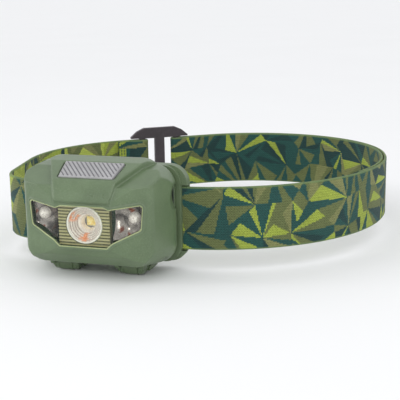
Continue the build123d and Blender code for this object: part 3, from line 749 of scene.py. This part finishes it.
def stitch_row(route, index, faces_out, name):
    """Sewn rows across the band at one place of its route, on two faces."""
    x, y, heading, _ = route.points[index]
    verts, faces = [], []
    tangent = Vector((cos(heading), sin(heading), 0))
    normal = Vector((-sin(heading), cos(heading), 0))
    pitch, margin = SEAM_PITCH, 1.2
    rings, around = 6, 8
    count = int((BAND_WIDTH - 2 * margin) / pitch)
    for row in SEAM_ROWS:
        for face in faces_out:
            for i in range(count):
                z = -BAND_WIDTH / 2 + margin + pitch * (i + 0.5)
                middle = Vector((x, y, z)) + tangent * row + normal * face
                base = len(verts)
                for a in range(rings + 1):
                    part = a / rings
                    swell = sin(pi * part) ** 0.5 if 0 < part < 1 else 0.05
                    for b in range(around):
                        angle = 2 * pi * b / around
                        lift = 0.17 * swell * sin(angle)
                        wide = 0.2 * swell * cos(angle)
                        point = middle + Vector((0, 0, (part - 0.5) * pitch * 0.82))
                        point += tangent * wide + normal * lift
                        verts.append(at(*point))
                for a in range(rings):
                    for b in range(around):
                        c = (b + 1) % around
                        faces.append((base + a * around + b, base + a * around + c,
                                      base + (a + 1) * around + c, base + (a + 1) * around + b))
                faces.append(tuple(base + b for b in range(around)))
                faces.append(tuple(base + rings * around + b for b in range(around)))
    piece = mesh_piece(name, verts, faces, [THREAD])
    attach(piece, "holder")
    return piece


right, left = right_route(), left_route()
band_right = band_piece("band_right", right, -1, 11)
band_left = band_piece("band_left", left, 1, 5)


def station(route, distance):
    """Number of the route's point nearest some distance back from its end."""
    goal = route.length - distance
    return min(range(len(route.points)), key=lambda i: abs(route.points[i][3] - goal))


SEAM_ROWS = (-0.7, 0.7)
SEAM_PITCH = 1.5
SKIN = BAND_THICK / 2 - 0.02
seam_left = stitch_row(left, station(left, 2.0), (SKIN, -LAYER_STEP - SKIN), "seam_left")
seam_tail = stitch_row(right, station(right, 4.0), (SKIN, -SKIN), "seam_tail")
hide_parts("headband")
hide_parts("headband")


# ---------------------------------------------------------------- button

def button_point(x, s, h):
    """Point of the button: across, up the roof, and out of it, in mm."""
    slope = radians(BUTTON_SLOPE)
    return at(x, BUTTON_Y + s * cos(slope) - h * sin(slope), BUTTON_Z + s * sin(slope) + h * cos(slope))


def knurl(x, s):
    """Height of the diamond pattern at a place on the button, 0 in a groove."""
    depth = 1.0
    for angle, pitch, share in ((52.0, 1.4, 1.0), (-38.0, 1.15, 0.35)):
        across = x * sin(radians(angle)) + s * cos(radians(angle))
        away = abs(across / pitch - floor(across / pitch) - 0.5) * pitch
        near = max(0.0, 1 - (pitch / 2 - away) / 0.36)
        depth -= share * near * near * (3 - 2 * near)
    return max(depth, 0.0)


def make_button():
    """Rubber button with a knurled top and a rounded rim, and its flange."""
    columns, rows = 168, 76
    half = BUTTON_LENGTH / 2
    top, skirt, depths = [], [], {}
    for i in range(rows + 1):
        s = -half + BUTTON_LENGTH * i / rows
        wide = BUTTON_FRONT_WIDTH / 2 + (BUTTON_REAR_WIDTH - BUTTON_FRONT_WIDTH) / 2 * i / rows
        for j in range(columns + 1):
            x = -wide + 2 * wide * j / columns
            rim = min(half - abs(s), wide - abs(x))
            round_off = max(0.0, 1 - rim / 0.5) ** 2 * 0.45
            flat = min(1.0, max(0.0, (rim - 0.25) / 0.25))
            cut = GROOVE_DEPTH * (1 - knurl(x, s)) * flat
            top.append(button_point(x, s, BUTTON_PROUD - 0.01 - round_off - cut))
            depths[tuple(round(c, 6) for c in top[-1])] = 1 - cut / GROOVE_DEPTH
    across = columns + 1
    border = [(0, j) for j in range(across)]
    border += [(i, columns) for i in range(1, rows + 1)]
    border += [(rows, j) for j in range(columns - 1, -1, -1)]
    border += [(i, 0) for i in range(rows - 1, 0, -1)]
    faces = []
    for i in range(rows):
        for j in range(columns):
            a = i * across + j
            faces.append((a, a + 1, a + across + 1, a + across))
    base = len(top)
    slope = radians(BUTTON_SLOPE)
    down = Vector((0, sin(slope), -cos(slope))) / 1000
    for i, j in border:
        skirt.append(top[i * across + j] + down * 1.9)
    count = len(border)
    for n in range(count):
        m = (n + 1) % count
        a = border[n][0] * across + border[n][1]
        b = border[m][0] * across + border[m][1]
        faces.append((a, b, base + m, base + n))
    faces.append(tuple(range(base, base + count)))
    piece = mesh_piece("button_knurled", top + skirt, faces, [RUBBER])
    cut_in = piece.data.attributes.new("cut", "FLOAT", "POINT")
    cut_in.data.foreach_set("value", [1 - depths.get(tuple(round(c, 6) for c in v.co), 1.0)
                                      for v in piece.data.vertices])
    sharpen(piece, 50)
    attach(piece, "button")
    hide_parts("button_cap")
    return piece


make_button()


# ---------------------------------------------------------------- main lens

# Directions of the painted warm reflections, in degrees, and radii of the steps, in mm.
WARM_REFLECTIONS = (152.0, 262.0)
REFLECTION_REACH = 26.0
LENS_RISERS = (6.22, 5.5, 4.8, 4.1)
LENS_RIM = moulded("lens_rim", RIM_TONES, 0.22, 1800.0, 0.00001)


def make_lens():
    """Stepped reflecting bowl, pale rim and clear cover of the main lamp."""
    rings = [(6.55, -24.6), (6.3, -24.45), (6.22, -24.0), (5.6, -23.85), (5.5, -23.4), (4.9, -23.25)]
    rings += [(4.8, -22.8), (4.2, -22.65), (4.1, -22.2), (3.4, -22.0)]
    rings += [(2.9, -21.2), (2.45, -19.6), (2.4, -19.0)]
    back = [(3.3, LENS_REAR), (7.0, LENS_FRONT + 1.25), (7.0, -24.6)]
    bowl = lathe("lens_bowl", rings + back, (0, LENS_Z), BOWL)
    sharpen(bowl, 25)
    middle = at(0, 0, LENS_Z)
    # Per point: where the painted warm reflections go, and which risers get painted shade.
    warm_reflection, step = [], []
    for vertex in bowl.data.vertices:
        angle = degrees(atan2(vertex.co.z - middle.z, vertex.co.x - middle.x)) % 360
        near = max(0.0, 1 - min(abs(angle - reflection_patch) for reflection_patch in WARM_REFLECTIONS) / REFLECTION_REACH)
        out = ((vertex.co.x - middle.x) ** 2 + (vertex.co.z - middle.z) ** 2) ** 0.5 * 1000
        warm_reflection.append(min(1.0, near * 1.6) if out > 3.6 else 0.0)
        # Risers of the steps, which get painted shade.
        step.append(1.0 if any(abs(out - riser) < 0.03 for riser in LENS_RISERS) else 0.0)
    bowl.data.attributes.new("warm_reflection", "FLOAT", "POINT").data.foreach_set("value", warm_reflection)
    bowl.data.attributes.new("step", "FLOAT", "POINT").data.foreach_set("value", step)
    rim = lathe("lens_rim", [(6.55, -24.55), (6.6, -25.0), (6.8, -25.17), (7.05, -25.17), (7.22, -25.0),
                             (7.22, -24.1), (7.02, -24.0), (7.02, -24.58)], (0, LENS_Z), LENS_RIM)
    crown, steps = LENS_FRONT + 0.05, 14
    domed = [(6.5 * k / steps, crown + 0.35 * (k / steps) ** 2) for k in range(steps + 1)]
    domed += [(6.5, crown + 0.6), (0.0, crown + 0.7)]
    cover = lathe("lens_cover", domed, (0, LENS_Z), LENS)
    for piece, slot in ((bowl, "reflector_metal"), (rim, "lens_clear"), (cover, "lens_clear")):
        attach(piece, "shell")
        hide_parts("main_lens")


make_lens()


# ---------------------------------------------------------------- window edge

def window_outline(inset):
    """Points round the window, at even steps, drawn in from its edge, in mm."""
    corners = PANE_OUTLINE + [(-x, z) for x, z in reversed(PANE_OUTLINE) if x]
    middle = Vector((0.0, 2.0))
    points = []
    for n, start in enumerate(corners):
        end = corners[(n + 1) % len(corners)]
        a, b = Vector(start), Vector(end)
        count = max(1, round((b - a).length / 0.5))
        inward = Vector((b.y - a.y, a.x - b.x)).normalized()
        if inward.dot(middle - a) < 0:
            inward = -inward
        points += [a.lerp(b, (k + 0.5) / count) + inward * inset for k in range(count)]
    return points


def face_point(x, z):
    """The point of the window's front face at a place in the front view."""
    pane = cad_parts["window"]
    hit, place, _normal, _index = pane.ray_cast(at(x, -40, z), Vector((0, 1, 0)))
    return place if hit else None


def make_window_edge():
    """Fine pale bead where the window meets the shell."""
    path = [face_point(*point) for point in window_outline(0.12)]
    path = [point for point in path if point]
    around, radius = 8, EDGE_BEAD / 1000
    verts, faces = [], []
    for n, point in enumerate(path):
        along = (path[(n + 1) % len(path)] - path[n - 1]).normalized()
        side = along.cross(Vector((0, -1, 0))).normalized()
        out = side.cross(along).normalized()
        for k in range(around):
            angle = 2 * pi * k / around
            verts.append(point + side * radius * cos(angle) + out * radius * 0.7 * sin(angle))
    total = len(path)
    for n in range(total):
        m = (n + 1) % total
        for k in range(around):
            j = (k + 1) % around
            faces.append((n * around + k, n * around + j, m * around + j, m * around + k))
    piece = mesh_piece("window_edge", verts, faces, [WINDOW_EDGE])
    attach(piece, "shell")


make_window_edge()


# ---------------------------------------------------------------- side reflectors

def make_reflector(side, name):
    """Polished cup round a side emitter, cut to the window's outline."""
    columns, rows = 44, 44
    front, back = [], []
    for i in range(columns + 1):
        for j in range(rows + 1):
            s, t = i / columns, j / rows
            low_point = Vector(CUP_INNER[0]).lerp(Vector(CUP_OUTER[0]), s)
            high_point = Vector(CUP_INNER[1]).lerp(Vector(CUP_OUTER[1]), s)
            x, z = low_point.lerp(high_point, t)
            reach = ((x - SIDE_LAMP_X) ** 2 + (z - SIDE_LAMP_Z) ** 2) ** 0.5
            cup = CUP_FLOOR - CUP_RISE * max(0.0, reach - CUP_FLAT_RADIUS) ** CUP_POWER
            pane = SHELL_FRONT + max(0.0, x - WING_X) * WING_SLOPE + CUP_CLEARANCE
            front.append(at(side * x, max(cup, pane), z))
            back.append(at(side * x, CUP_BACK, z))
    across = rows + 1
    base = len(front)
    faces = []
    for i in range(columns):
        for j in range(rows):
            a = i * across + j
            faces.append((a, a + 1, a + across + 1, a + across))
            faces.append((base + a, base + a + across, base + a + across + 1, base + a + 1))
    border = [j for j in range(rows)] + [i * across + rows for i in range(columns)]
    border += [columns * across + j for j in range(rows, 0, -1)] + [i * across for i in range(columns, 0, -1)]
    for n, a in enumerate(border):
        b = border[(n + 1) % len(border)]
        faces.append((a, b, base + b, base + a))
    piece = mesh_piece("reflector_cup_" + name, front + back, faces, [MIRROR])
    sharpen(piece, 40)
    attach(piece, "shell")
    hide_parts("side_reflector_" + name)


for side, name in ((-1, "left"), (1, "right")):
    make_reflector(side, name)


# ---------------------------------------------------------------- CAD nodes

dress("front_shell", SHELL, 0.00035)
dress("rear_case", SHELL, 0.0002)
dress("bracket", BRACKET, 0.0004)
dress("band_slider", SLIDER, 0.0003)
dress("lens_bezel", BEZEL)
dress("window", WINDOW)
dress("main_led", YELLOW)
dress("led_star", STEEL)
dress("circuit_board", BOARD)
dress("switch_board", BOARD)
dress("push_switch", BLACK)
dress("switch_plunger", BLACK)
dress("board_screws", STEEL)
dress("hinge_pins", STEEL)
dress("contact_springs", STEEL)
dress("contact_plates", CONTACT)
dress("feed_contacts", CONTACT)
dress("case_seal", SEAL)
for side in ("left", "right"):
    dress("side_led_" + side, DOME)
BARE_END = 0.0012
for row in ("upper", "middle", "lower"):
    node = "cell_" + row
    low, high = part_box(node)
    middle = (low.x + high.x) / 2
    reach = (high.x - low.x) / 2 - BARE_END
    sleeve = banded("cell_wrap_" + row, rgb(30, 30, 34), rgb(54, 54, 60), rgb(196, 196, 200), middle, reach)
    dress(node, sleeve)


# ---------------------------------------------------------------- setting

def pale_floor():
    """Wide pale floor with the faintest mottle."""
    material, tree, shader = new_material("floor")
    cloud = noise(tree, 6.0, 2.0)
    tone = mixed(tree, cloud, rgb(242, 242, 242), rgb(245, 245, 245))
    tree.links.new(tone, shader.inputs["Base Color"])
    shader.inputs["Roughness"].default_value = 0.9
    size, drop = 30.0, -0.0002
    corners = [(-size, -size, drop), (size, -size, drop), (size, size, drop), (-size, size, drop)]
    piece = mesh_piece("floor", corners, [(0, 1, 2, 3)], [material])


def area_light(name, place, target, size, power, colour=(1, 1, 1)):
    """Soft rectangular lamp aimed at a point."""
    data = bpy.data.lights.new(name, "AREA")
    data.shape = "RECTANGLE"
    data.size, data.size_y = size
    data.energy = power
    data.color = colour
    lamp = bpy.data.objects.new(name, data)
    lamp.location = place
    lamp.rotation_euler = (Vector(target) - Vector(place)).to_track_quat("-Z", "Y").to_euler()
    scene.collection.objects.link(lamp)


def sky():
    """Even pale surroundings."""
    world = bpy.data.worlds.new("surroundings")
    world.use_nodes = True
    world.node_tree.nodes["Background"].inputs[0].default_value = (0.97, 0.98, 1.0, 1.0)
    world.node_tree.nodes["Background"].inputs[1].default_value = 0.97
    scene.world = world


def sun(power, tilt, turn):
    """Even daylight from one side, with very soft shadows."""
    data = bpy.data.lights.new("sun", "SUN")
    data.energy = power
    data.angle = radians(50)
    lamp = bpy.data.objects.new("sun", data)
    lamp.rotation_euler = (radians(tilt), 0, radians(turn))
    scene.collection.objects.link(lamp)


pale_floor()
sky()
sun(0.15, 38.0, -30.0)
area_light("left_strip", (-0.55, -0.25, 0.18), at(-29, -10, 5), (0.10, 0.5), 0.8)
area_light("right_strip", (0.62, -0.62, 0.20), at(27, -20, 5), (0.07, 0.5), 0.9)
area_light("front_spot", (0.05, -0.75, 0.42), at(0, -25, 3), (0.06, 0.06), 0.4)


# ---------------------------------------------------------------- camera

VIEW_AZIMUTH = 17.332
VIEW_ELEVATION = 12.925
VIEW_ROLL = -0.923
VIEW_DISTANCE = 447.782
VIEW_SHIFT = (11.919, -12.131)
VIEW_LENS = 84.674
AIM_Y = 80.0


def camera():
    """Camera that looks down on the lamp from its right."""
    a, e, roll = radians(VIEW_AZIMUTH), radians(VIEW_ELEVATION), radians(VIEW_ROLL)
    back = Vector((sin(a) * cos(e), -cos(a) * cos(e), sin(e)))
    right_way = Vector((cos(a), sin(a), 0))
    up = back.cross(right_way)
    across = cos(roll) * right_way + sin(roll) * up
    upward = cos(roll) * up - sin(roll) * right_way
    aim = Vector((0, AIM_Y, 0)) + right_way * VIEW_SHIFT[0] + up * VIEW_SHIFT[1]
    place = at(*(aim + back * VIEW_DISTANCE))
    data = bpy.data.cameras.new("camera")
    data.sensor_width = 36.0
    data.lens = VIEW_LENS
    data.clip_start = 0.02
    data.clip_end = 100.0
    eye = bpy.data.objects.new("camera", data)
    turn = Matrix((across, upward, back)).transposed().to_4x4()
    eye.matrix_world = Matrix.Translation(place) @ turn
    scene.collection.objects.link(eye)
    scene.camera = eye


camera()

bpy.context.view_layer.update()
